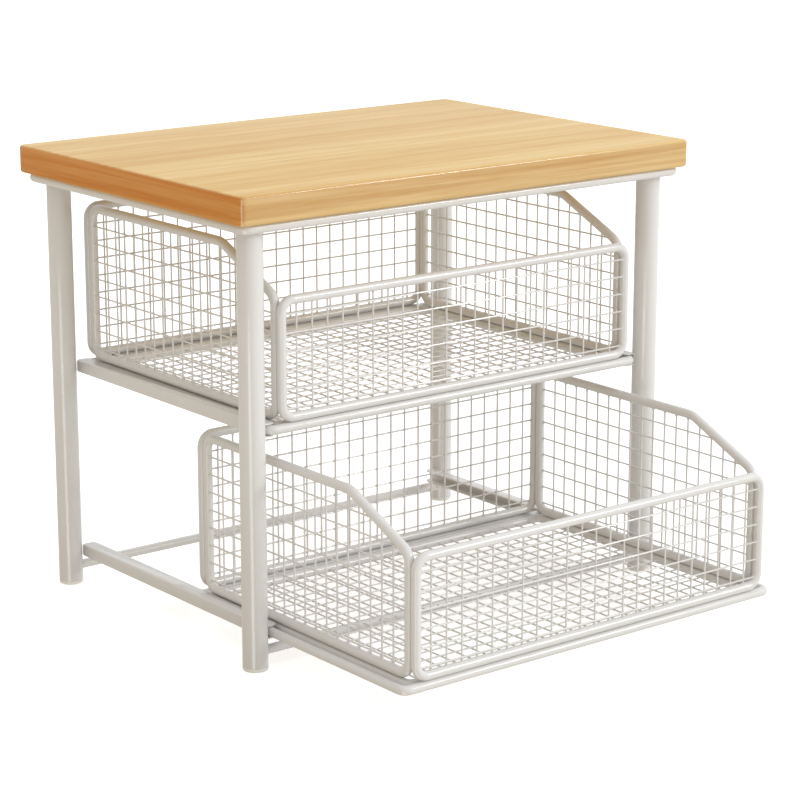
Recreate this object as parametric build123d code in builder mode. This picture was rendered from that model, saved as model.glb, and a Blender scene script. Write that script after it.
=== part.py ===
from build123d import *
import os
from math import sqrt

os.makedirs("parts", exist_ok=True)

# Countertop organizer: a wooden top on a tube stand, with two wire drawers that slide on rails.
# Sizes are in millimetres. The organizer stands on z = 0 and its front faces -Y. The lower drawer
# is pulled out, and the origin is on the floor under the middle of the whole.

# Wooden top
board_width = 360.0
board_depth = 255.0
board_thickness = 18.0
board_corner_radius = 5.0
board_edge_radius = 2.0

# Legs and their foot plugs
leg_inset = 19.0  # from the board's edge to the leg's axis
leg_diameter = 16.0
leg_wall = 1.2
foot_height = 2.5
foot_edge_radius = 1.0
foot_stem_length = 14.0
plug_clearance = 0.05  # between the tube's bore and a plug in it

# Rod ring under the board's rim
ring_rod = 6.0
ring_inset = 3.6  # from the board's edge to the outside of the ring
ring_bend_inside = 1.5

# Corner plates and the screws through them
plate_side = 36.0
plate_thickness = 2.0
hole_clearance = 0.5  # on the diameter of a screw hole in a plate
thread_clearance = 0.1  # on the diameter of a threaded or pilot hole
leg_screw_diameter = 5.0
leg_screw_length = 14.0
leg_screw_head_diameter = 9.0
leg_screw_head_height = 3.0
insert_length = 18.0
board_screw_offset = 16.0  # from the leg's axis, both ways
board_screw_diameter = 4.0
board_screw_grip = 11.0  # length in the board
board_screw_head_diameter = 8.0
board_screw_head_height = 2.6
recess_width = 1.2  # cross recess in each screw head
recess_length = 4.0
recess_depth = 1.4

# Rails, bent from sheet to a C that opens inwards
rail_sheet = 1.0
rail_width = 9.4
rail_corner_radius = 1.5
rail_end_radius = 4.0
rail_rear_setback = 2.5  # of the rails' rear ends, before the rear legs' axes
lower_rail_height = 21.5  # of the rail's middle above the floor

# Cross bars low between the legs
cross_bar_rod = 6.0
cross_bar_drop = 3.2  # from the underside of the lower rails down to the bars

# Drawers, bent and welded from rod
drawer_rod = 6.0
weld_gap = 0.1  # between rods that are welded side by side
runner_clearance = 0.3  # between a drawer's rod and the rail around it
basket_clearance = 0.8  # between a drawer's side panel and the edge of the rail
tray_front_overhang = 1.5  # of the closed drawer's front rod, before the front legs' axes
tray_rear_setback = 0.5  # of its back rod, before the rear legs' axes
tray_bend_inside = 1.5
panel_bend_inside = 5.0
front_panel_height = 72.7  # panel heights are from rod axis to rod axis
side_panel_height = 99.5
tier_clearance = 15.4  # from the lower drawer's rim up to the upper rails
top_clearance = 15.6  # from the upper drawer's rim up to the ring under the board
slope_foot_rise = 1.5  # of the side panels' slope over the front panel where they meet
slope_length = 56.0
slope_foot_bend_inside = 7.0
slope_top_bend_inside = 17.0
lower_pull_out = 130.0
upper_pull_out = 0.0

# Wire mesh in the drawers' panels
mesh_wire = 1.2
wire_layer_gap = 0.05  # between the two layers of wires
wire_pitch_x = 11.65
wire_pitch_y = 10.9
wire_pitch_z = 11.7
wire_end_room = 8.0  # least distance from a rod to the first wire beside it
first_wire_height = 5.6  # above the axis of the panel's bottom rod
top_wire_room = 3.0  # least distance from the top rod to the last wire under it

# Places worked out from the sizes above
leg_x = board_width / 2 - leg_inset
leg_y = board_depth / 2 - leg_inset
leg_radius = leg_diameter / 2
drawer_front = -(leg_y + tray_front_overhang)
drawer_back = leg_y - tray_rear_setback
most_pull_out = max(lower_pull_out, upper_pull_out)
frontmost = min(drawer_front - most_pull_out - drawer_rod / 2, -board_depth / 2)
stand_y = -(frontmost + board_depth / 2) / 2

ring_bend = ring_bend_inside + ring_rod / 2  # bends along the rods' axes
tray_bend = tray_bend_inside + drawer_rod / 2
panel_bend = panel_bend_inside + drawer_rod / 2
slope_foot_bend = slope_foot_bend_inside + drawer_rod / 2
slope_top_bend = slope_top_bend_inside + drawer_rod / 2

rod_step = drawer_rod + weld_gap
rail_gap = drawer_rod + 2 * runner_clearance
rail_height = rail_gap + 2 * rail_sheet
drawer_rim = rod_step + side_panel_height + drawer_rod / 2  # above the middle of the drawer's rails
upper_rail_height = lower_rail_height + drawer_rim + tier_clearance + rail_height / 2
leg_top = upper_rail_height + drawer_rim + top_clearance
plate_top = leg_top + plate_thickness
board_underside = leg_top + ring_rod
cross_bar_height = lower_rail_height - rail_height / 2 - cross_bar_drop - cross_bar_rod / 2
slope_foot_height = front_panel_height + slope_foot_rise

ring_x = board_width / 2 - ring_inset - ring_rod / 2
ring_y = board_depth / 2 - ring_inset - ring_rod / 2
ring_z = board_underside - ring_rod / 2

rail_web_x = leg_x - leg_radius - weld_gap
tray_x = rail_web_x - rail_sheet - runner_clearance - drawer_rod / 2
panel_x = rail_web_x - rail_width - basket_clearance - drawer_rod / 2  # side panels and the floor's sides
floor_front = drawer_front + rod_step
floor_back = drawer_back - rod_step

leg_places = {
    "front_left": (-leg_x, stand_y - leg_y),
    "front_right": (leg_x, stand_y - leg_y),
    "rear_left": (-leg_x, stand_y + leg_y),
    "rear_right": (leg_x, stand_y + leg_y),
}
board_screw_places = [
    (side * (leg_x - board_screw_offset), stand_y + end * (leg_y - board_screw_offset))
    for side in (-1, 1)
    for end in (-1, 1)
]


def save(piece, name):
    """Name a finished piece and write it to its own file."""
    piece.label = name
    export_step(piece, f"parts/{name}.step")


def rectangle_outline(left, right, low, high):
    """Corners of an upright rectangle."""
    return [(left, low), (right, low), (right, high), (left, high)]


def rod_loop(plane, outline, bends, rod):
    """Closed loop of round rod whose axis follows an outline on a plane."""
    with BuildPart() as loop:
        with BuildLine(plane) as axis:
            FilletPolyline(*outline, radius=bends, close=True)
        axis_wire = axis.wire()
        with BuildSketch(Plane(origin=axis_wire @ 0, z_dir=axis_wire % 0)):
            Circle(rod / 2)
        sweep(path=axis_wire)
    return loop.part


def spread(low, high, pitch):
    """Places of evenly pitched wires in the middle of the gap between two rods' axes."""
    room = high - low - drawer_rod - 2 * wire_end_room
    count = int(room / pitch) + 1
    first = (low + high - (count - 1) * pitch) / 2
    return [first + i * pitch for i in range(count)]


def stack(height):
    """Heights of the level wires in a panel, from its bottom rod up to its top rod."""
    room = height - drawer_rod / 2 - top_wire_room - first_wire_height
    count = int(room / wire_pitch_z) + 1
    return [first_wire_height + i * wire_pitch_z for i in range(count)]


def wire_mesh(plane, outline, bends, upright_places, level_places, level_side):
    """Two layers of crossing wires, trimmed to the opening of the rod loop around them."""
    layer = (mesh_wire + wire_layer_gap) / 2
    reach = board_width
    upright_origin = plane.from_local_coords((0, 0, -level_side * layer))
    level_origin = plane.from_local_coords((0, 0, level_side * layer))
    with BuildPart() as mesh:
        with BuildSketch(Plane(origin=upright_origin, x_dir=plane.x_dir, z_dir=plane.y_dir)):
            with Locations(*[(place, 0) for place in upright_places]):
                Circle(mesh_wire / 2)
        extrude(amount=reach, both=True)
        with BuildSketch(Plane(origin=level_origin, x_dir=plane.y_dir, z_dir=plane.x_dir)):
            with Locations(*[(place, 0) for place in level_places]):
                Circle(mesh_wire / 2)
        extrude(amount=reach, both=True)
        with BuildSketch(plane):
            with BuildLine():
                FilletPolyline(*outline, radius=bends, close=True)
            make_face()
            offset(amount=-drawer_rod / 2, mode=Mode.REPLACE)
        extrude(amount=2 * mesh_wire, both=True, mode=Mode.INTERSECT)
    return mesh.part


def screw(plane, place_list, diameter, length, head_diameter, head_height):
    """Pan-head screws on a plane: heads above it, shanks below it, with a cross recess on top."""
    with BuildPart() as screws:
        with BuildSketch(plane):
            with Locations(*place_list):
                Circle(diameter / 2)
        extrude(amount=-length)
        with BuildSketch(plane):
            with Locations(*place_list):
                Circle(head_diameter / 2)
        extrude(amount=head_height)
        rims = screws.edges().filter_by(GeomType.CIRCLE).group_by(SortBy.RADIUS)[-1]
        top_rims = [rim for rim in rims if plane.to_local_coords(rim.center()).Z > head_height / 2]
        fillet(top_rims, head_height / 2)
        with BuildSketch(plane.offset(head_height)):
            with Locations(*place_list):
                Rectangle(recess_length, recess_width)
                Rectangle(recess_width, recess_length)
        extrude(amount=-recess_depth, mode=Mode.SUBTRACT)
    return screws.part


# Wooden top, with pilot holes for its screws
with BuildPart() as top_board:
    with BuildSketch(Plane((0, stand_y, board_underside))):
        RectangleRounded(board_width, board_depth, board_corner_radius)
    extrude(amount=board_thickness)
    fillet(top_board.faces().sort_by(Axis.Z)[-1].edges(), board_edge_radius)
    fillet(top_board.faces().sort_by(Axis.Z)[0].edges(), board_edge_radius)
    with BuildSketch(Plane.XY.offset(board_underside)):
        with Locations(*board_screw_places):
            Circle((board_screw_diameter + thread_clearance) / 2)
    extrude(amount=board_screw_grip + thread_clearance, mode=Mode.SUBTRACT)
save(top_board.part, "top_board")

# Rod ring that the board lies on
ring_plane = Plane((0, stand_y, ring_z))
ring_outline = rectangle_outline(-ring_x, ring_x, -ring_y, ring_y)
save(rod_loop(ring_plane, ring_outline, ring_bend, ring_rod), "top_ring")

# Corner plates, welded inside the ring's corners on top of the legs
ring_chord = sqrt((ring_rod / 2) ** 2 - (ring_rod / 2 - plate_thickness) ** 2)
plate_inset = ring_chord + weld_gap
plate_centre_x = ring_x - plate_inset - plate_side / 2
plate_centre_y = ring_y - plate_inset - plate_side / 2
with BuildPart() as corner_plates:
    with BuildSketch(Plane((0, stand_y, leg_top))):
        with GridLocations(2 * plate_centre_x, 2 * plate_centre_y, 2, 2):
            RectangleRounded(plate_side, plate_side, ring_bend)
    extrude(amount=plate_thickness)
    with BuildSketch(Plane((0, stand_y, leg_top))):
        with GridLocations(2 * leg_x, 2 * leg_y, 2, 2):
            Circle((leg_screw_diameter + hole_clearance) / 2)
    extrude(amount=plate_thickness, mode=Mode.SUBTRACT)
    with BuildSketch(Plane.XY.offset(leg_top)):
        with Locations(*board_screw_places):
            Circle((board_screw_diameter + hole_clearance) / 2)
    extrude(amount=plate_thickness, mode=Mode.SUBTRACT)
save(corner_plates.part, "corner_plates")

# Screws from below through the plates into the board
board_screw_plane = Plane(origin=(0, 0, leg_top), x_dir=(1, 0, 0), z_dir=(0, 0, -1))
board_screw_length = board_underside + board_screw_grip - leg_top
mirrored_places = [(x, -y) for x, y in board_screw_places]
board_screws = screw(
    board_screw_plane,
    mirrored_places,
    board_screw_diameter,
    board_screw_length,
    board_screw_head_diameter,
    board_screw_head_height,
)
save(board_screws, "board_screws")

# Screws from above through the plates into the legs
leg_screws = screw(
    Plane.XY.offset(plate_top),
    list(leg_places.values()),
    leg_screw_diameter,
    leg_screw_length,
    leg_screw_head_diameter,
    leg_screw_head_height,
)
save(leg_screws, "leg_screws")

# Threaded plugs in the tops of the legs
leg_bore = leg_diameter - 2 * leg_wall
with BuildPart() as leg_inserts:
    with BuildSketch(Plane.XY.offset(leg_top - insert_length)):
        with Locations(*leg_places.values()):
            Circle(leg_bore / 2 - plug_clearance)
            Circle((leg_screw_diameter + thread_clearance) / 2, mode=Mode.SUBTRACT)
    extrude(amount=insert_length)
save(leg_inserts.part, "leg_inserts")

# Legs and the foot plugs in their lower ends
for corner, place in leg_places.items():
    with BuildPart() as leg:
        with BuildSketch(Plane((*place, foot_height))):
            Circle(leg_radius)
            Circle(leg_bore / 2, mode=Mode.SUBTRACT)
        extrude(amount=leg_top - foot_height)
    save(leg.part, f"leg_{corner}")

    with BuildPart() as foot:
        with BuildSketch(Plane((*place, 0))):
            Circle(leg_radius)
        extrude(amount=foot_height)
        fillet(foot.edges().sort_by(Axis.Z)[0], foot_edge_radius)
        with BuildSketch(Plane((*place, foot_height))):
            Circle(leg_bore / 2 - plug_clearance)
        extrude(amount=foot_stem_length)
    save(foot.part, f"foot_{corner}")

# Rails, welded to the inner sides of the legs
rail_length = 2 * leg_y - rail_rear_setback
for tier, rail_z in (("lower", lower_rail_height), ("upper", upper_rail_height)):
    for side_name, side in (("left", -1), ("right", 1)):
        rail_end = (side * rail_web_x, stand_y - leg_y, rail_z)
        with BuildPart() as rail:
            with BuildSketch(Plane(origin=rail_end, x_dir=(-side, 0, 0), z_dir=(0, 1, 0))):
                with Locations((rail_width / 2, 0)):
                    outside = Rectangle(rail_width, rail_height)
                fillet(outside.vertices().group_by(Axis.X)[0], rail_corner_radius)
                with Locations((rail_sheet + rail_width / 2, 0)):
                    Rectangle(rail_width, rail_gap, mode=Mode.SUBTRACT)
            extrude(amount=rail_length)
            lip_edges = rail.edges().filter_by(Axis.Z).group_by(SortBy.LENGTH)[0]
            fillet(lip_edges, rail_end_radius)
        save(rail.part, f"{tier}_{side_name}_rail")

# Cross bars, coped to the legs at both ends
for end_name, end in (("front", -1), ("rear", 1)):
    with BuildPart() as cross_bar:
        with BuildSketch(Plane(origin=(-leg_x, stand_y + end * leg_y, cross_bar_height), z_dir=(1, 0, 0))):
            Circle(cross_bar_rod / 2)
        extrude(amount=2 * leg_x)
        with BuildSketch(Plane((0, stand_y + end * leg_y, 0))):
            with Locations((-leg_x, 0), (leg_x, 0)):
                Circle(leg_radius + weld_gap)
        extrude(amount=leg_top, mode=Mode.SUBTRACT)
    save(cross_bar.part, f"{end_name}_cross_bar")

# Outlines of a drawer's rod loops, seen on their own planes
tray_outline = rectangle_outline(-tray_x, tray_x, drawer_front, drawer_back)
floor_outline = rectangle_outline(-panel_x, panel_x, floor_front, floor_back)
front_outline = rectangle_outline(-panel_x, panel_x, 0, front_panel_height)
back_outline = rectangle_outline(-panel_x, panel_x, 0, side_panel_height)
side_outline = [
    (floor_front, 0),
    (floor_front, slope_foot_height),
    (floor_front + slope_length, side_panel_height),
    (floor_back, side_panel_height),
    (floor_back, 0),
]
side_bends = [
    panel_bend,
    slope_foot_bend,
    slope_top_bend,
    panel_bend,
    panel_bend,
]
width_places = spread(-panel_x, panel_x, wire_pitch_x)
depth_places = spread(floor_front, floor_back, wire_pitch_y)

# Drawers: a tray ring that runs in the rails, a floor inside it and four panels on top
for tier, rail_z, pull_out in (
    ("lower", lower_rail_height, lower_pull_out),
    ("upper", upper_rail_height, upper_pull_out),
):
    drawer_y = stand_y - pull_out
    panel_z = rail_z + rod_step
    tray_plane = Plane((0, drawer_y, rail_z))
    save(rod_loop(tray_plane, tray_outline, tray_bend, drawer_rod), f"{tier}_tray_ring")

    save(rod_loop(tray_plane, floor_outline, tray_bend, drawer_rod), f"{tier}_floor_frame")
    floor_mesh = wire_mesh(tray_plane, floor_outline, tray_bend, width_places, depth_places, 1)
    save(floor_mesh, f"{tier}_floor_mesh")

    front_plane = Plane((0, drawer_y + drawer_front, panel_z), x_dir=(1, 0, 0), z_dir=(0, -1, 0))
    front_frame = rod_loop(front_plane, front_outline, panel_bend, drawer_rod)
    save(front_frame, f"{tier}_front_frame")
    front_levels = stack(front_panel_height)
    front_mesh = wire_mesh(front_plane, front_outline, panel_bend, width_places, front_levels, 1)
    save(front_mesh, f"{tier}_front_mesh")

    back_plane = Plane((0, drawer_y + drawer_back, panel_z), x_dir=(1, 0, 0), z_dir=(0, -1, 0))
    back_frame = rod_loop(back_plane, back_outline, panel_bend, drawer_rod)
    save(back_frame, f"{tier}_back_frame")
    tall_levels = stack(side_panel_height)
    back_mesh = wire_mesh(back_plane, back_outline, panel_bend, width_places, tall_levels, -1)
    save(back_mesh, f"{tier}_back_mesh")

    for side_name, side in (("left", -1), ("right", 1)):
        side_plane = Plane((side * panel_x, drawer_y, panel_z), x_dir=(0, 1, 0), z_dir=(1, 0, 0))
        side_frame = rod_loop(side_plane, side_outline, side_bends, drawer_rod)
        save(side_frame, f"{tier}_{side_name}_frame")
        side_mesh = wire_mesh(side_plane, side_outline, side_bends, depth_places, tall_levels, side)
        save(side_mesh, f"{tier}_{side_name}_mesh")
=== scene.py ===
import math

import bmesh
import bpy
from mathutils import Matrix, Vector


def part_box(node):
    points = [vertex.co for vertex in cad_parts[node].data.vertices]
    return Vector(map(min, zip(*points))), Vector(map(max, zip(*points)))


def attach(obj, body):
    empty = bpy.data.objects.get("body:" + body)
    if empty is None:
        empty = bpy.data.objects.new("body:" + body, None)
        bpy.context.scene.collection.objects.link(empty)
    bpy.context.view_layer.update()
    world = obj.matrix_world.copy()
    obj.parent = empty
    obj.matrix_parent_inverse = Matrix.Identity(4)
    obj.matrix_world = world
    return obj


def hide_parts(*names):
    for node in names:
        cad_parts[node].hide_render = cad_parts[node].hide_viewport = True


# Countertop organizer: a wooden top on a stand of cream coated steel tube and rod, with two wire drawers
# that slide on rails. Lengths are in metres. It stands on z = 0, its front faces -Y, and the lower drawer
# is pulled out.

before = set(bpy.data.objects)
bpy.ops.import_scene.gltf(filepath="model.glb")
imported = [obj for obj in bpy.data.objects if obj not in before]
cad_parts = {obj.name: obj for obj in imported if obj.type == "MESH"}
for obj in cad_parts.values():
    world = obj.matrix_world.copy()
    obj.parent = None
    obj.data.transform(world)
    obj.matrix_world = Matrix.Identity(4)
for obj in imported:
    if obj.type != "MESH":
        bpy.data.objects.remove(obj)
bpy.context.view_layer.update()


# Legs: four straight lengths of round steel tube, powder coated a warm cream. They are sawn square and
# their cut edges are eased. A screw from above holds each one under a corner of the top ring.

corner_names = ["front_left", "front_right", "rear_left", "rear_right"]
leg_radius = 0.008
leg_wall = 0.0012
leg_sides = 48
sawn_edge = 0.0003
sawn_edge_steps = 2
smooth_angle = math.radians(40)
near = 0.00001  # points closer together than this count as one
coat_pale = (0.71, 0.703, 0.69, 1)
coat_deep = (0.696, 0.688, 0.673, 1)
noise_range = (0.3, 0.7)  # holds nearly all the values of a noise
cloud_detail = 3
ripple_detail = 2


def clear_selection():
    """Leave every object unselected, out of edit mode."""
    if bpy.context.object and bpy.context.object.mode != "OBJECT":
        bpy.ops.object.mode_set(mode="OBJECT")
    bpy.ops.object.select_all(action="DESELECT")


def select_piece(piece):
    """Select one piece and nothing else."""
    clear_selection()
    piece.select_set(True)
    bpy.context.view_layer.objects.active = piece


def start_piece(name):
    """Name the primitive just added, and open it for shaping with all of it selected."""
    piece = bpy.context.object
    piece.name = name
    piece.data.name = name
    bpy.ops.object.transform_apply(location=True, rotation=True, scale=True)
    bpy.ops.object.mode_set(mode="EDIT")
    bpy.ops.mesh.select_all(action="SELECT")
    return piece


def extrude(step):
    """Draw the selection out by a step."""
    bpy.ops.mesh.extrude_region_move(TRANSFORM_OT_translate={"value": step})


def close_piece():
    """Merge what lies together in the open piece, turn its faces outwards and leave edit mode."""
    bpy.ops.mesh.select_all(action="SELECT")
    bpy.ops.mesh.remove_doubles(threshold=near)
    bpy.ops.mesh.normals_make_consistent(inside=False)
    bpy.ops.object.mode_set(mode="OBJECT")


def use_modifier(piece, kind, **settings):
    """Add a modifier with its settings and apply it."""
    bpy.context.view_layer.objects.active = piece
    bpy.ops.object.modifier_add(type=kind)
    modifier = piece.modifiers[-1]
    for setting, value in settings.items():
        setattr(modifier, setting, value)
    bpy.ops.object.modifier_apply(modifier=modifier.name)


def smooth(piece):
    """Shade a piece's rounded surfaces smooth and keep its sharp edges."""
    select_piece(piece)
    bpy.ops.object.shade_smooth_by_angle(angle=smooth_angle)


def copy_piece(piece, name, step):
    """Copy of a finished piece, with its own mesh, moved by a step."""
    select_piece(piece)
    bpy.ops.object.duplicate()
    twin = bpy.context.object
    twin.name = name
    twin.data.name = name
    twin.location = step
    bpy.ops.object.transform_apply(location=True, rotation=True, scale=True)
    return twin


def fit_piece(piece, material, body, node):
    """Give a finished piece its material, and put it in the place of its solid."""
    piece.data.materials.clear()
    piece.data.materials.append(material)
    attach(piece, body)
    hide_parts(node)


def start_material(name):
    """New material with its nodes, links and shader."""
    material = bpy.data.materials.new(name)
    material.use_nodes = True
    nodes = material.node_tree.nodes
    return material, nodes, material.node_tree.links, nodes["Principled BSDF"]


def add_noise(nodes, links, place, scale, detail, distortion=0):
    """Value that wavers from place to place."""
    noise = nodes.new("ShaderNodeTexNoise")
    noise.inputs["Scale"].default_value = scale
    noise.inputs["Detail"].default_value = detail
    noise.inputs["Distortion"].default_value = distortion
    links.new(place, noise.inputs["Vector"])
    return noise.outputs["Fac"]


def change_range(nodes, links, value, old_range, new_range, interpolation="LINEAR"):
    """Value carried over from one range to another, and held at its ends."""
    change = nodes.new("ShaderNodeMapRange")
    change.interpolation_type = interpolation
    for name, limit in zip(("From Min", "From Max", "To Min", "To Max"), (*old_range, *new_range)):
        change.inputs[name].default_value = limit
    links.new(value, change.inputs["Value"])
    return change.outputs["Result"]


def add_tones(nodes, links, value, *tones):
    """Colour that goes from tone to tone as a value rises; each tone is (value, colour)."""
    ramp = nodes.new("ShaderNodeValToRGB")
    marks = ramp.color_ramp.elements
    for mark, (position, colour) in zip(marks, (tones[0], tones[-1])):
        mark.position = position
        mark.color = colour
    for position, colour in tones[1:-1]:
        marks.new(position).color = colour
    links.new(value, ramp.inputs["Fac"])
    return ramp.outputs["Color"]


def add_relief(nodes, links, shader, height, depth):
    """Raise the surface a little where a value is high."""
    relief = nodes.new("ShaderNodeBump")
    relief.inputs["Strength"].default_value = 1
    relief.inputs["Distance"].default_value = depth
    links.new(height, relief.inputs["Height"])
    links.new(relief.outputs["Normal"], shader.inputs["Normal"])


def mottled_material(name, pale, deep, roughness, cloud_scale, ripple_scale, ripple_depth, metallic=0):
    """Material whose colour and gloss drift in soft clouds, over a fine ripple."""
    material, nodes, links, shader = start_material(name)
    place = nodes.new("ShaderNodeTexCoord").outputs["Object"]
    clouds = add_noise(nodes, links, place, cloud_scale, cloud_detail)
    tone = add_tones(nodes, links, clouds, (noise_range[0], deep), (noise_range[1], pale))
    links.new(tone, shader.inputs["Base Color"])
    gloss = change_range(nodes, links, clouds, noise_range, roughness)
    links.new(gloss, shader.inputs["Roughness"])
    ripple = add_noise(nodes, links, place, ripple_scale, ripple_detail)
    add_relief(nodes, links, shader, ripple, ripple_depth)
    shader.inputs["Metallic"].default_value = metallic
    return material


def fit_at_corners(piece, kind, material):
    """Copy a front left leg or foot to the other corners, and put all four in the place of their solids."""
    pieces = {"front_left": piece}
    for corner in corner_names[1:]:
        pieces[corner] = copy_piece(piece, f"{corner}_{kind}", leg_steps[corner])
    for corner, corner_piece in pieces.items():
        fit_piece(corner_piece, material, "stand", f"{kind}_{corner}")


cream_coat = mottled_material(
    "cream_coat",
    pale=coat_pale,
    deep=coat_deep,
    roughness=(0.16, 0.21),
    cloud_scale=40,
    ripple_scale=900,
    ripple_depth=0.000008,
)

low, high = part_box("leg_front_left")
leg_foot = Vector(((low.x + high.x) / 2, (low.y + high.y) / 2, low.z))
leg_length = high.z - low.z
leg_steps = {corner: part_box(f"leg_{corner}")[0] - low for corner in corner_names}
clear_selection()
bpy.ops.mesh.primitive_circle_add(vertices=leg_sides, radius=leg_radius, location=leg_foot)
leg = start_piece("front_left_leg")
extrude((0, 0, leg_length))
close_piece()
use_modifier(leg, "SOLIDIFY", thickness=leg_wall, offset=-1)
use_modifier(leg, "BEVEL", width=sawn_edge, segments=sawn_edge_steps, limit_method="ANGLE")
smooth(leg)
fit_at_corners(leg, "leg", cream_coat)


# Feet: moulded plastic plugs pressed into the legs' lower ends. A rim as wide as the tube, rounded below,
# keeps the steel off the worktop, and a ribbed stem grips the bore.

foot_height = 0.0025
foot_edge = 0.001
foot_edge_steps = 5
foot_stem_radius = 0.00675
foot_stem_length = 0.014
foot_rib = 0.0003
foot_rib_places = (0.3, 0.6, 0.9)  # shares of the stem's length
foot_pale = (0.84, 0.82, 0.78, 1)
foot_deep = (0.8, 0.775, 0.73, 1)
up = Vector((0, 0, 1))

foot_plastic = mottled_material(
    "foot_plastic",
    pale=foot_pale,
    deep=foot_deep,
    roughness=(0.45, 0.6),
    cloud_scale=120,
    ripple_scale=1500,
    ripple_depth=0.00001,
)


def draw_rod(name, start, direction, rings, sides):
    """Straight rod drawn out of a disc ring by ring: each ring is (distance from the start, radius)."""
    clear_selection()
    bpy.ops.mesh.primitive_circle_add(
        vertices=sides,
        radius=rings[0][1],
        fill_type="NGON",
        location=start,
        rotation=direction.to_track_quat("Z", "Y").to_euler(),
    )
    rod = start_piece(name)
    for (along, radius), (next_along, next_radius) in zip(rings, rings[1:]):
        extrude(direction * (next_along - along))
        scale = next_radius / radius
        ring_centre = start + direction * next_along
        bpy.ops.transform.resize(value=(scale, scale, scale), center_override=ring_centre)
    close_piece()
    return rod


foot_rings = []
for step in range(foot_edge_steps + 1):
    angle = math.radians(90) * step / foot_edge_steps
    rim_radius = leg_radius - foot_edge + foot_edge * math.sin(angle)
    foot_rings.append((foot_edge - foot_edge * math.cos(angle), rim_radius))
foot_rings.append((foot_height, leg_radius))
foot_rings.append((foot_height, foot_stem_radius - foot_rib))
for rib_place in foot_rib_places:
    rib_height = foot_height + foot_stem_length * rib_place
    foot_rings.append((rib_height - foot_rib, foot_stem_radius - foot_rib))
    foot_rings.append((rib_height, foot_stem_radius))
    foot_rings.append((rib_height + foot_rib, foot_stem_radius - foot_rib))
foot_rings.append((foot_height + foot_stem_length, foot_stem_radius - foot_rib))

foot_centre = Vector((leg_foot.x, leg_foot.y, 0))
foot = draw_rod("front_left_foot", foot_centre, up, foot_rings, leg_sides)
smooth(foot)
fit_at_corners(foot, "foot", foot_plastic)


# Rails: four channels folded from steel sheet to a C that opens inwards, coated like the legs. The lips'
# corners are rounded off, and the back of each channel is welded to the inner sides of two legs.

rail_sheet = 0.001
rail_fold = 0.0015
rail_fold_steps = 5
rail_lip_corner = 0.004
rail_lip_steps = 6
rail_burr = 0.0002
rail_burr_steps = 2
rail_burr_angle = math.radians(50)
square_on = 0.9  # a face whose normal has more than this along an axis faces along it


def pick(piece, part, test):
    """Select only the vertices, edges or faces of an open piece that pass a test."""
    bpy.ops.mesh.select_mode(type=part)
    bpy.ops.mesh.select_all(action="DESELECT")
    shape = bmesh.from_edit_mesh(piece.data)
    parts = {"VERT": shape.verts, "EDGE": shape.edges, "FACE": shape.faces}
    for item in parts[part]:
        if test(item):
            item.select_set(True)
    shape.select_flush_mode()
    bmesh.update_edit_mesh(piece.data)


def mirror_piece(piece, name):
    """Mirror image of a finished piece on the other side of the organizer."""
    twin = copy_piece(piece, name, (0, 0, 0))
    twin.scale.x = -1
    bpy.ops.object.transform_apply(location=True, rotation=True, scale=True)
    bpy.ops.object.mode_set(mode="EDIT")
    close_piece()
    return twin


low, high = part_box("lower_left_rail")
clear_selection()
bpy.ops.mesh.primitive_cube_add(size=1, location=(low + high) / 2, scale=high - low)
rail = start_piece("lower_left_channel")
pick(rail, "FACE", lambda face: face.normal.x > square_on or abs(face.normal.y) > square_on)
bpy.ops.mesh.delete(type="FACE")
pick(rail, "VERT", lambda vertex: vertex.co.x > high.x - near)
bpy.ops.mesh.bevel(offset=rail_lip_corner, segments=rail_lip_steps, affect="VERTICES")
pick(
    rail,
    "EDGE",
    lambda edge: all(vertex.co.x < low.x + near for vertex in edge.verts) and not edge.is_boundary,
)
bpy.ops.mesh.bevel(offset=rail_fold, segments=rail_fold_steps, affect="EDGES")
bpy.ops.object.mode_set(mode="OBJECT")
use_modifier(rail, "SOLIDIFY", thickness=rail_sheet, offset=-1, use_even_offset=True)
use_modifier(
    rail,
    "BEVEL",
    width=rail_burr,
    segments=rail_burr_steps,
    limit_method="ANGLE",
    angle_limit=rail_burr_angle,
)
smooth(rail)
rails = {"lower_left": rail}
rails["lower_right"] = mirror_piece(rail, "lower_right_channel")
tier_rise = Vector((0, 0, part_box("upper_left_rail")[0].z - low.z))
for side in ("left", "right"):
    rails[f"upper_{side}"] = copy_piece(rails[f"lower_{side}"], f"upper_{side}_channel", tier_rise)
for rail_place, piece in rails.items():
    fit_piece(piece, cream_coat, "stand", f"{rail_place}_rail")


# Cross bars: two straight lengths of round rod low between the legs, one in front and one behind. Both
# ends are cut to the legs' curve and welded all round, which leaves a thin collar.

rod_radius = 0.003
rod_sides = 20
bar_bite = 0.0009
collar_length = 0.0011
collar_rise = 0.0007
collar_waist = (0.4, 0.3)  # at the first share of its length, the second share of its rise is left
along_x = Vector((1, 0, 0))


def add_far_end(rings, length):
    """Rings of a rod whose far end is the mirror image of the end that is given."""
    return rings + [(length - along, radius) for along, radius in reversed(rings)]


low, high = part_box("front_cross_bar")
leg_face = abs(leg_foot.x) - leg_radius
bar_start = Vector((-leg_face - bar_bite, (low.y + high.y) / 2, (low.z + high.z) / 2))
bar_length = 2 * (leg_face + bar_bite)
collar = [
    (0, rod_radius + collar_rise),
    (bar_bite, rod_radius + collar_rise),
    (bar_bite + collar_length * collar_waist[0], rod_radius + collar_rise * collar_waist[1]),
    (bar_bite + collar_length, rod_radius),
]
front_bar = draw_rod("front_bar", bar_start, along_x, add_far_end(collar, bar_length), rod_sides)
smooth(front_bar)
rear_bar = copy_piece(front_bar, "rear_bar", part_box("rear_cross_bar")[0] - low)
fit_piece(front_bar, cream_coat, "stand", "front_cross_bar")
fit_piece(rear_bar, cream_coat, "stand", "rear_cross_bar")


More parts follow.
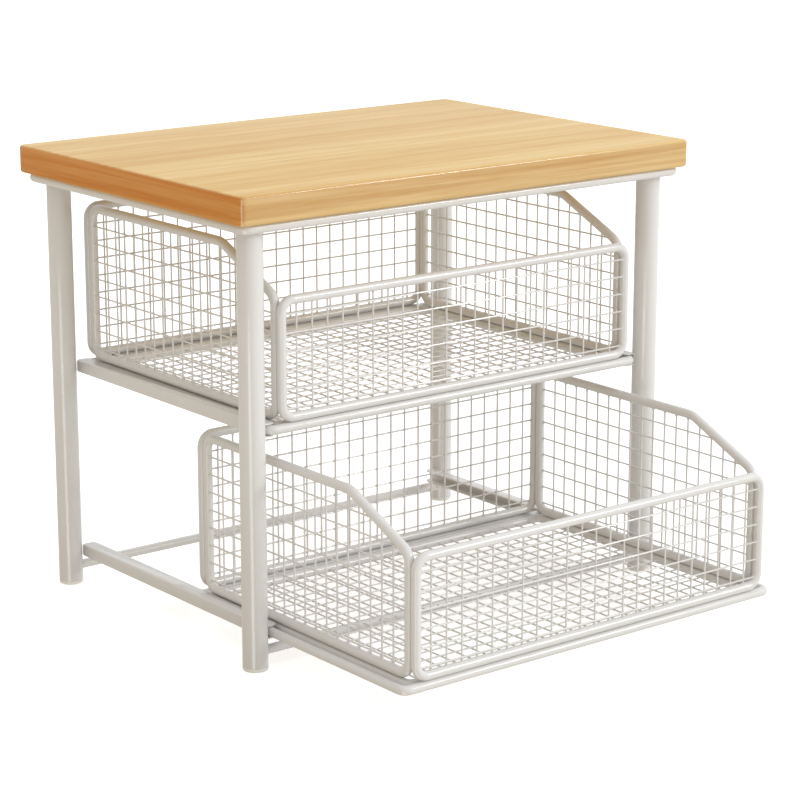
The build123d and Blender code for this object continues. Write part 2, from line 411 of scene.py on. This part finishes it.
# Top ring: one length of round rod bent to a rectangle with tight corners and welded shut. Plates inside
# its corners hold it on the legs, and the wooden top lies on it.

ring_bend = 0.0045
bend_steps = 8
along_y = Vector((0, 1, 0))


def bend_rod(name, corners, bends):
    """Closed loop of round rod: a circle drawn along the straight runs and spun round the bends.

    Spin turns clockwise about its axis, so the bends' axes are given to it turned over.
    """
    start = (corners[-1] + corners[0]) / 2
    clear_selection()
    bpy.ops.mesh.primitive_circle_add(
        vertices=rod_sides,
        radius=rod_radius,
        location=start,
        rotation=(corners[0] - corners[-1]).to_track_quat("Z", "Y").to_euler(),
    )
    loop = start_piece(name)
    here = start
    for i, corner in enumerate(corners):
        before = (corner - corners[i - 1]).normalized()
        after = (corners[(i + 1) % len(corners)] - corner).normalized()
        angle = before.angle(after)
        reach = bends[i] * math.tan(angle / 2)
        bend_start = corner - before * reach
        axis = before.cross(after).normalized()
        extrude(bend_start - here)
        bpy.ops.mesh.spin(
            steps=bend_steps,
            angle=angle,
            center=bend_start + axis.cross(before) * bends[i],
            axis=-axis,
        )
        here = corner + after * reach
    extrude(start - here)
    close_piece()
    smooth(loop)
    return loop


def bend_rectangle(name, middle, across, upwards, bend):
    """Rectangular loop of round rod, from its middle and its two half sides."""
    corners = [
        middle - across - upwards,
        middle + across - upwards,
        middle + across + upwards,
        middle - across + upwards,
    ]
    return bend_rod(name, corners, [bend] * len(corners))


def rod_space(node):
    """Middle of a rod loop and half its size, both to the rod's axis."""
    low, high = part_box(node)
    return (low + high) / 2, (high - low) / 2 - Vector((rod_radius, rod_radius, rod_radius))


middle, half = rod_space("top_ring")
ring = bend_rectangle("rod_ring", middle, along_x * half.x, along_y * half.y, ring_bend)
fit_piece(ring, cream_coat, "stand", "top_ring")


# Corner plates and their fixings, all under the board: four punched plates welded inside the ring, with
# a machine screw down into a threaded plug in each leg and a wood screw up into the board.

zinc_pale = (0.66, 0.66, 0.64, 1)
zinc_deep = (0.5, 0.5, 0.49, 1)
plug_pale = (0.1, 0.1, 0.1, 1)
plug_deep = (0.06, 0.06, 0.06, 1)
seam = 0.000001  # widest gap between triangles that belong together

zinc_plate = mottled_material(
    "zinc_plate",
    pale=zinc_pale,
    deep=zinc_deep,
    roughness=(0.22, 0.4),
    cloud_scale=300,
    ripple_scale=2500,
    ripple_depth=0.000006,
    metallic=1,
)
plug_plastic = mottled_material(
    "plug_plastic",
    pale=plug_pale,
    deep=plug_deep,
    roughness=(0.4, 0.6),
    cloud_scale=200,
    ripple_scale=1800,
    ripple_depth=0.00001,
)


def smooth_copy(node, name):
    """Copy of a solid's mesh, with its loose triangles joined and its round surfaces shaded smooth."""
    piece = bpy.data.objects.new(name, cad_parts[node].data.copy())
    piece.data.name = name
    bpy.context.scene.collection.objects.link(piece)
    select_piece(piece)
    bpy.ops.object.mode_set(mode="EDIT")
    bpy.ops.mesh.select_all(action="SELECT")
    bpy.ops.mesh.remove_doubles(threshold=seam)
    bpy.ops.object.mode_set(mode="OBJECT")
    smooth(piece)
    return piece


for node, name, material, slot in (
    ("corner_plates", "ring_corner_plates", cream_coat, "frame_steel"),
    ("leg_inserts", "threaded_leg_plugs", plug_plastic, "plug_plastic"),
    ("leg_screws", "machine_screws", zinc_plate, "screw_steel"),
    ("board_screws", "wood_screws", zinc_plate, "screw_steel"),
):
    fit_piece(smooth_copy(node, name), material, "stand", node)


# Wooden top: one board of light wood under a clear lacquer, its grain along the width. Strips of the same
# wood face its ends. Its front and back and, deeper and more orange, its ends are darkened with painted
# shade. All its edges are rounded, and screws hold it from below.

board_corner = 0.005
board_corner_steps = 10
board_edge = 0.002
board_edge_steps = 6
sharp_angle = math.radians(60)
wood_pale = (0.78, 0.568, 0.243, 1)
wood_middle = (0.75, 0.522, 0.206, 1)
wood_deep = (0.71, 0.47, 0.165, 1)
wood_tones = ((0.37, wood_deep), (0.5, wood_middle), (0.63, wood_pale))
streak_tint = (0.92, 0.81, 0.6, 1)
fibre_tint = (0.95, 0.89, 0.76, 1)
fibre_depth = 0.00001
line_range = (0.42, 0.66)  # values of a noise over which its lines come in
end_limit = 0.72  # a surface that turns further to the side than this is a facing strip's
# painted shade: darkens the board's front and back faces, which get less light than the top
edge_painted_shade = (0.812, 0.797, 1, 1)
edge_painted_shade_least = 0.5
# painted shade: both ends deeper and more orange, as in warm shadow
end_painted_shade = (0.88, 0.565, 0.425, 1)
end_painted_shade_least = 0.85
painted_shade_turn = (0.25, 0.95)  # turns to the side over which the painted shade comes in
painted_shade_streaks = (0.38, 0.62)  # values of the streaks over which it goes from its least share to all
wood_roughness = (0.36, 0.46)
lacquer_weight = 0.36
lacquer_ior = 2
lacquer_roughness = 0.12
mix_sockets = {"VECTOR": (4, 5, 1), "RGBA": (6, 7, 2)}  # a Mix node's two inputs and its output


def rise(edge):
    """Difference in height between an edge's two ends."""
    return abs(edge.verts[0].co.z - edge.verts[1].co.z)


low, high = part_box("top_board")
clear_selection()
bpy.ops.mesh.primitive_cube_add(size=1, location=(low + high) / 2, scale=high - low)
board = start_piece("wooden_top")
pick(board, "EDGE", lambda edge: rise(edge) > near)
bpy.ops.mesh.bevel(offset=board_corner, segments=board_corner_steps, affect="EDGES")
pick(board, "EDGE", lambda edge: rise(edge) < near and edge.calc_face_angle(0) > sharp_angle)
bpy.ops.mesh.bevel(offset=board_edge, segments=board_edge_steps, affect="EDGES")
close_piece()
smooth(board)


def set_input(links, socket, value):
    """Link an input to another node's output, or give it a fixed value."""
    if isinstance(value, bpy.types.NodeSocket):
        links.new(value, socket)
    else:
        socket.default_value = value


def work_out(nodes, links, operation, *values):
    """Result of a sum on one or two values."""
    sum_node = nodes.new("ShaderNodeMath")
    sum_node.operation = operation
    for socket, value in zip(sum_node.inputs, values):
        set_input(links, socket, value)
    return sum_node.outputs["Value"]


def mix(nodes, links, kind, share, first, second, blend="MIX"):
    """Mix of two vectors or colours, with a share of the second."""
    mixer = nodes.new("ShaderNodeMix")
    mixer.data_type = kind
    mixer.blend_type = blend
    first_place, second_place, result_place = mix_sockets[kind]
    set_input(links, mixer.inputs["Factor"], share)
    set_input(links, mixer.inputs[first_place], first)
    set_input(links, mixer.inputs[second_place], second)
    return mixer.outputs[result_place]


def stretched_noise(nodes, links, place, stretch, detail, distortion):
    """Noise drawn out along the grain."""
    mapping = nodes.new("ShaderNodeMapping")
    mapping.inputs["Scale"].default_value = stretch
    links.new(place, mapping.inputs["Vector"])
    return add_noise(nodes, links, mapping.outputs["Vector"], scale=1, detail=detail, distortion=distortion)


lacquered_wood, nodes, links, shader = start_material("lacquered_wood")
place = nodes.new("ShaderNodeTexCoord")
axes = nodes.new("ShaderNodeSeparateXYZ")
links.new(place.outputs["Object"], axes.inputs["Vector"])
turned_place = nodes.new("ShaderNodeCombineXYZ")
for axis, turned_axis in (("X", "Y"), ("Y", "X"), ("Z", "Z")):
    links.new(axes.outputs[axis], turned_place.inputs[turned_axis])
facing = nodes.new("ShaderNodeSeparateXYZ")
links.new(place.outputs["Normal"], facing.inputs["Vector"])
end_turn = work_out(nodes, links, "ABSOLUTE", facing.outputs["X"])
edge_turn = work_out(nodes, links, "ABSOLUTE", facing.outputs["Y"])
is_end = work_out(nodes, links, "GREATER_THAN", end_turn, end_limit)
grain = mix(nodes, links, "VECTOR", is_end, place.outputs["Object"], turned_place.outputs["Vector"])

bands = stretched_noise(nodes, links, grain, stretch=(1.2, 26, 26), detail=2, distortion=0.4)
streaks = stretched_noise(nodes, links, grain, stretch=(4, 140, 260), detail=3, distortion=0.5)
fibres = stretched_noise(nodes, links, grain, stretch=(30, 600, 900), detail=2, distortion=0)
wood_colour = add_tones(nodes, links, bands, *wood_tones)
for pattern, tint in ((streaks, streak_tint), (fibres, fibre_tint)):
    strength = change_range(nodes, links, pattern, line_range, (0, 1))
    wood_colour = mix(nodes, links, "RGBA", strength, wood_colour, tint, blend="MULTIPLY")
# Painted shade: the front, back and ends are darkened by how far they turn to the side, unevenly with the
# streaks.
for turn, painted_shade, least in ((edge_turn, edge_painted_shade, edge_painted_shade_least), (end_turn, end_painted_shade, end_painted_shade_least)):
    share = change_range(nodes, links, turn, painted_shade_turn, (0, 1), "SMOOTHSTEP")
    depth = change_range(nodes, links, streaks, painted_shade_streaks, (least, 1))
    uneven_share = work_out(nodes, links, "MULTIPLY", share, depth)
    wood_colour = mix(nodes, links, "RGBA", uneven_share, wood_colour, painted_shade, blend="MULTIPLY")
links.new(wood_colour, shader.inputs["Base Color"])

roughness = change_range(nodes, links, fibres, noise_range, wood_roughness)
links.new(roughness, shader.inputs["Roughness"])
shader.inputs["Specular IOR Level"].default_value = 0
shader.inputs["Coat Weight"].default_value = lacquer_weight
shader.inputs["Coat IOR"].default_value = lacquer_ior
shader.inputs["Coat Roughness"].default_value = lacquer_roughness
add_relief(nodes, links, shader, fibres, fibre_depth)
fit_piece(board, lacquered_wood, "stand", "top_board")


# Drawer trays: each drawer stands on a flat ring of round rod with tight corners. Its two sides run
# inside the rails, so it carries the drawer.

tray_bend = 0.0045
drawer_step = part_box("upper_tray_ring")[0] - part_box("lower_tray_ring")[0]


def fit_in_both_drawers(piece, part):
    """Copy a lower drawer's piece into the upper drawer, and put both in the place of their solids."""
    upper_piece = copy_piece(piece, piece.name.replace("lower", "upper"), drawer_step)
    fit_piece(piece, cream_coat, "lower_drawer", f"lower_{part}")
    fit_piece(upper_piece, cream_coat, "upper_drawer", f"upper_{part}")


middle, half = rod_space("lower_tray_ring")
tray = bend_rectangle("lower_drawer_tray", middle, along_x * half.x, along_y * half.y, tray_bend)
fit_in_both_drawers(tray, "tray_ring")


# Drawer floors: a second flat rod ring welded inside the tray, filled with a mesh of thin drawn wire.
# The wires lie in two layers, are welded where they cross, and are tacked to the ring at their ends.

wire_radius = 0.0006
wire_sides = 8
wire_bite = 0.0004
wire_offset = 0.00055
wires_across = 23
wire_pitch_across = 0.01165
wires_deep = 17
wire_pitch_deep = 0.0109
tack_radius = 0.00105
tack_length = 0.0009
tack_waist = (0.3, 0.85)  # at the first share of its length, the second share of its radius is left


def lay_wires(name, first_middle, direction, half_length, pitch, count):
    """Row of straight parallel wires, each with a small tack weld at both ends."""
    length = 2 * (half_length + wire_bite)
    tack = [
        (0, tack_radius),
        (wire_bite + tack_length * tack_waist[0], tack_radius * tack_waist[1]),
        (wire_bite + tack_length, wire_radius),
    ]
    start = first_middle - direction * (length / 2)
    wire = draw_rod(name, start, direction, add_far_end(tack, length), wire_sides)
    use_modifier(
        wire,
        "ARRAY",
        count=count,
        use_relative_offset=False,
        use_constant_offset=True,
        constant_offset_displace=pitch,
    )
    return wire


def join_wires(first, second):
    """Make one mesh of two layers of wires."""
    select_piece(first)
    second.select_set(True)
    bpy.ops.object.join()
    smooth(first)
    return first


middle, half = rod_space("lower_floor_frame")
floor_frame = bend_rectangle("lower_drawer_floor_rod", middle, along_x * half.x, along_y * half.y, tray_bend)
fit_in_both_drawers(floor_frame, "floor_frame")

first_across = -wire_pitch_across * (wires_across - 1) / 2
first_deep = -wire_pitch_deep * (wires_deep - 1) / 2
wires_to_back = lay_wires(
    "lower_drawer_floor_wires",
    middle + Vector((first_across, 0, -wire_offset)),
    along_y,
    half.y - rod_radius,
    along_x * wire_pitch_across,
    wires_across,
)
wires_to_side = lay_wires(
    "floor_cross_wires",
    middle + Vector((0, first_deep, wire_offset)),
    along_x,
    half.x - rod_radius,
    along_y * wire_pitch_deep,
    wires_deep,
)
floor_wires = join_wires(wires_to_back, wires_to_side)
fit_in_both_drawers(floor_wires, "floor_mesh")


# Front and back panels: upright rod loops welded on the tray, filled with the same wire mesh. The front
# is low, so that a hand reaches in over it. The level wires are on the outside.

panel_bend = 0.008
level_pitch = 0.0117
first_level = 0.0056
front_levels = 6
tall_levels = 8

for panel, levels, outward in (("front", front_levels, -along_y), ("back", tall_levels, along_y)):
    middle, half = rod_space(f"lower_{panel}_frame")
    panel_frame = bend_rectangle(
        f"lower_drawer_{panel}_rod",
        middle,
        along_x * half.x,
        up * half.z,
        panel_bend,
    )
    fit_in_both_drawers(panel_frame, f"{panel}_frame")

    uprights = lay_wires(
        f"lower_drawer_{panel}_wires",
        middle + along_x * first_across - outward * wire_offset,
        up,
        half.z - rod_radius,
        along_x * wire_pitch_across,
        wires_across,
    )
    level_wires = lay_wires(
        "panel_level_wires",
        middle + up * (first_level - half.z) + outward * wire_offset,
        along_x,
        half.x - rod_radius,
        up * level_pitch,
        levels,
    )
    panel_wires = join_wires(uprights, level_wires)
    fit_in_both_drawers(panel_wires, f"{panel}_mesh")


# Side panels: rod loops as tall as the back that slope down to the low front, with wire mesh trimmed to
# the slope. The left one is bent and filled first, and the right one is its mirror image.

slope_length = 0.056
slope_foot_height = 0.0742
slope_foot_bend = 0.01
slope_top_bend = 0.02

middle, half = rod_space("lower_left_frame")
front_y = middle.y - half.y
back_y = middle.y + half.y
bottom_z = middle.z - half.z
top_z = middle.z + half.z
slope_foot = Vector((middle.x, front_y, bottom_z + slope_foot_height))
slope_top = Vector((middle.x, front_y + slope_length, top_z))
side_corners = [
    Vector((middle.x, front_y, bottom_z)),
    slope_foot,
    slope_top,
    Vector((middle.x, back_y, top_z)),
    Vector((middle.x, back_y, bottom_z)),
]
side_bends = [panel_bend, slope_foot_bend, slope_top_bend, panel_bend, panel_bend]
left_frame = bend_rod("lower_drawer_left_rod", side_corners, side_bends)
right_frame = mirror_piece(left_frame, "lower_drawer_right_rod")

uprights = lay_wires(
    "lower_drawer_left_wires",
    middle + Vector((wire_offset, first_deep, 0)),
    up,
    half.z - rod_radius,
    along_y * wire_pitch_deep,
    wires_deep,
)
level_wires = lay_wires(
    "side_level_wires",
    middle + Vector((-wire_offset, 0, first_level - half.z)),
    along_y,
    half.y - rod_radius,
    up * level_pitch,
    tall_levels,
)
left_wires = join_wires(uprights, level_wires)
slope_normal = along_x.cross(slope_top - slope_foot).normalized()
bpy.ops.object.mode_set(mode="EDIT")
bpy.ops.mesh.select_all(action="SELECT")
bpy.ops.mesh.bisect(
    plane_co=slope_foot - slope_normal * (rod_radius - wire_bite),
    plane_no=slope_normal,
    use_fill=True,
    clear_outer=True,
)
bpy.ops.object.mode_set(mode="OBJECT")
smooth(left_wires)
right_wires = mirror_piece(left_wires, "lower_drawer_right_wires")
for side, side_frame, side_wires in (("left", left_frame, left_wires), ("right", right_frame, right_wires)):
    fit_in_both_drawers(side_frame, f"{side}_frame")
    fit_in_both_drawers(side_wires, f"{side}_mesh")


# Studio: a pale seamless floor under a white sky that is warm and dim low on the left, with one soft sun
# from the front right. The floor throws a warm glow upwards that the camera doesn't see, standing in for
# its bounce light, and the glow is dimmed under the organizer as a painted shadow. A bright strip of the
# sky below the horizon shows only in shine, as a line down the legs.

floor_size = 40
floor_white = (0.9, 0.9, 0.9, 1)
floor_roughness = 0.8
floor_glow = 0.45
glow_colour = (1, 1, 1, 1)
floor_bounce = (0.2, 0.19, 0.175, 1)
fill_colour = (1, 0.955, 0.875, 1)
fill_strength = 0.7
painted_shadow_strength = 0.35
painted_shadow_reach = (0.1, 0.36)  # distances from the middle over which the glow rises to its full strength
sky_lean = Vector((0.75, -0.1, 0.75))
sky_range = (-0.8, 0.3)  # leans over which the sky goes from dim to bright
sky_dim = (0.39, 0.25, 0.1, 1)
sky_warm = (0.7, 0.62, 0.52, 1)
sky_bright = (1.04, 1.06, 1.08, 1)
backdrop = (0.97, 0.97, 0.97, 1)
strip_turn = math.radians(52)
strip_half_width = 0.15
strip_blur = 1.4  # the strip has faded out at this many half widths
strip_least_lean = 1  # least lean ahead and downwards of a direction in the strip
strip_strength = 4.2
sun_place = Vector((0.62, -0.69, 0.4))
sun_strength = 0.85
sun_softness = math.radians(14)
camera_place = Vector((-1.0208, -1.2890, 0.5557))
camera_turn = math.radians(38.15)
camera_tilt = math.radians(14.35)
camera_lens = 116.82
sensor_width = 36

clear_selection()
bpy.ops.mesh.primitive_plane_add(size=floor_size, location=(0, 0, 0))
studio_floor = bpy.context.object
studio_floor.name = "studio_floor"
floor_paint, nodes, links, floor_seen = start_material("floor_paint")
floor_lights = nodes.new("ShaderNodeBsdfPrincipled")
for shader, colour, glow in (
    (floor_seen, floor_white, glow_colour),
    (floor_lights, floor_bounce, fill_colour),
):
    shader.inputs["Base Color"].default_value = colour
    shader.inputs["Roughness"].default_value = floor_roughness
    shader.inputs["Emission Color"].default_value = glow
floor_seen.inputs["Emission Strength"].default_value = floor_glow
floor_place = nodes.new("ShaderNodeTexCoord")
distance = nodes.new("ShaderNodeVectorMath")
distance.operation = "LENGTH"
links.new(floor_place.outputs["Object"], distance.inputs[0])
# painted shadow: the floor's glow is dimmed near the middle, under the organizer
fill = change_range(nodes, links, distance.outputs["Value"], painted_shadow_reach, (painted_shadow_strength, fill_strength))
links.new(fill, floor_lights.inputs["Emission Strength"])
floor_ray = nodes.new("ShaderNodeLightPath")
floor_choice = nodes.new("ShaderNodeMixShader")
links.new(floor_ray.outputs["Is Camera Ray"], floor_choice.inputs["Fac"])
links.new(floor_lights.outputs["BSDF"], floor_choice.inputs[1])
links.new(floor_seen.outputs["BSDF"], floor_choice.inputs[2])
links.new(floor_choice.outputs["Shader"], nodes["Material Output"].inputs["Surface"])
studio_floor.data.materials.append(floor_paint)
studio_floor.visible_glossy = False

sky = bpy.data.worlds.new("studio_sky")
bpy.context.scene.world = sky
sky.use_nodes = True
nodes = sky.node_tree.nodes
links = sky.node_tree.links
direction = nodes.new("ShaderNodeTexCoord").outputs["Generated"]


def lean_towards(vector):
    """How far each direction of the sky leans towards a vector."""
    lean = nodes.new("ShaderNodeVectorMath")
    lean.operation = "DOT_PRODUCT"
    lean.inputs[1].default_value = vector
    links.new(direction, lean.inputs[0])
    return lean.outputs["Value"]


brightness = change_range(nodes, links, lean_towards(sky_lean), sky_range, (0, 1))
sky_colour = add_tones(nodes, links, brightness, (0, sky_dim), (0.5, sky_warm), (1, sky_bright))
strip_across = Vector((math.cos(strip_turn), -math.sin(strip_turn), 0))
strip_ahead = Vector((-math.sin(strip_turn), -math.cos(strip_turn), -1))
strip_edge = (strip_half_width, strip_half_width * strip_blur)
strip_distance = work_out(nodes, links, "ABSOLUTE", lean_towards(strip_across))
strip_glow = change_range(nodes, links, strip_distance, strip_edge, (strip_strength, 0))
is_ahead = work_out(nodes, links, "GREATER_THAN", lean_towards(strip_ahead), strip_least_lean)
strip_light = work_out(nodes, links, "MULTIPLY", strip_glow, is_ahead)
lit_sky = mix(nodes, links, "RGBA", 1, sky_colour, strip_light, blend="ADD")
is_seen = nodes.new("ShaderNodeLightPath").outputs["Is Camera Ray"]
sky_seen = mix(nodes, links, "RGBA", is_seen, lit_sky, backdrop)
links.new(sky_seen, nodes["Background"].inputs["Color"])

bpy.ops.object.light_add(type="SUN", rotation=sun_place.to_track_quat("Z", "Y").to_euler())
sun = bpy.context.object
sun.name = "studio_sun"
sun.data.energy = sun_strength
sun.data.angle = sun_softness

bpy.ops.object.camera_add(location=camera_place, rotation=(math.pi / 2 - camera_tilt, 0, -camera_turn))
camera = bpy.context.object
camera.data.sensor_width = sensor_width
camera.data.lens = camera_lens
bpy.context.scene.camera = camera
bpy.context.scene.view_settings.view_transform = "Standard"
